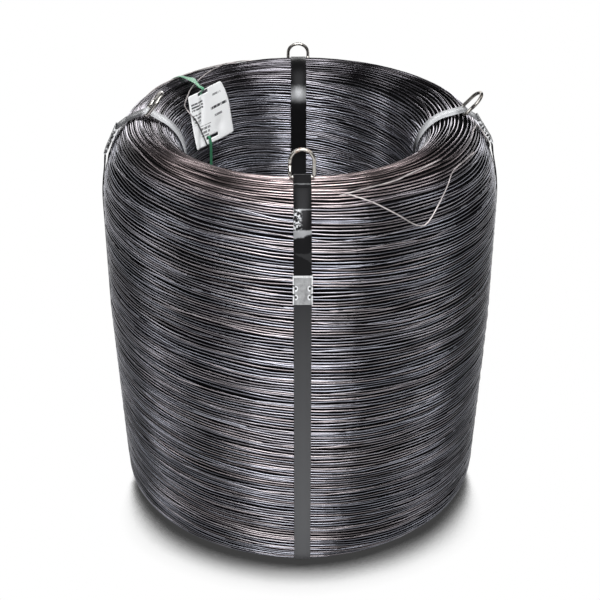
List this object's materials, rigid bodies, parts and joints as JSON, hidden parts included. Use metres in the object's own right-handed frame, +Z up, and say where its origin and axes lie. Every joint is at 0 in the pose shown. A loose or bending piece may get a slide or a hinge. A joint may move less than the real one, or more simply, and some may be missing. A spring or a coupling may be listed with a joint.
{
  "type": "coil of drawn steel wire",
  "caption": "Upright coil of dark drawn steel wire with an open bore, tied by sealed steel straps that carry lifting rings, with a blank tag.",
  "frame": {"origin": "on the floor, on the axis of the coil's bore", "axes": "+Z up along the bore, -Y towards the strap whose seal is seen from the front, +X to the right"},
  "size_m": [0.7926, 0.8022, 0.8788],
  "materials": {
    "wire": "dark phosphated drawn wire, semi-bright along its length, with a faint brown tint",
    "strap": "black varnished strapping, glossy above the seal and worn to satin grey below it",
    "seal": "zinc-coated, bright grey",
    "ring": "bare steel rod with a light rust tint",
    "tag": "white coated tag, no maker's print",
    "tag_strap": "green plastic strap"
  },
  "bodies": {
    "root": {"wire_coil": "wire", "loose_front_loop": "wire", "inner_wire_end": "wire", "front_strap": "strap", "right_strap": "strap", "back_strap": "strap", "left_strap": "strap", "front_seal": "seal", "right_seal": "seal", "back_seal": "seal", "left_seal": "seal", "front_lifting_ring": "ring", "right_lifting_ring": "ring", "back_lifting_ring": "ring", "left_lifting_ring": "ring", "tag": "tag", "tag_strap": "tag_strap"}
  },
  "joints": []
}
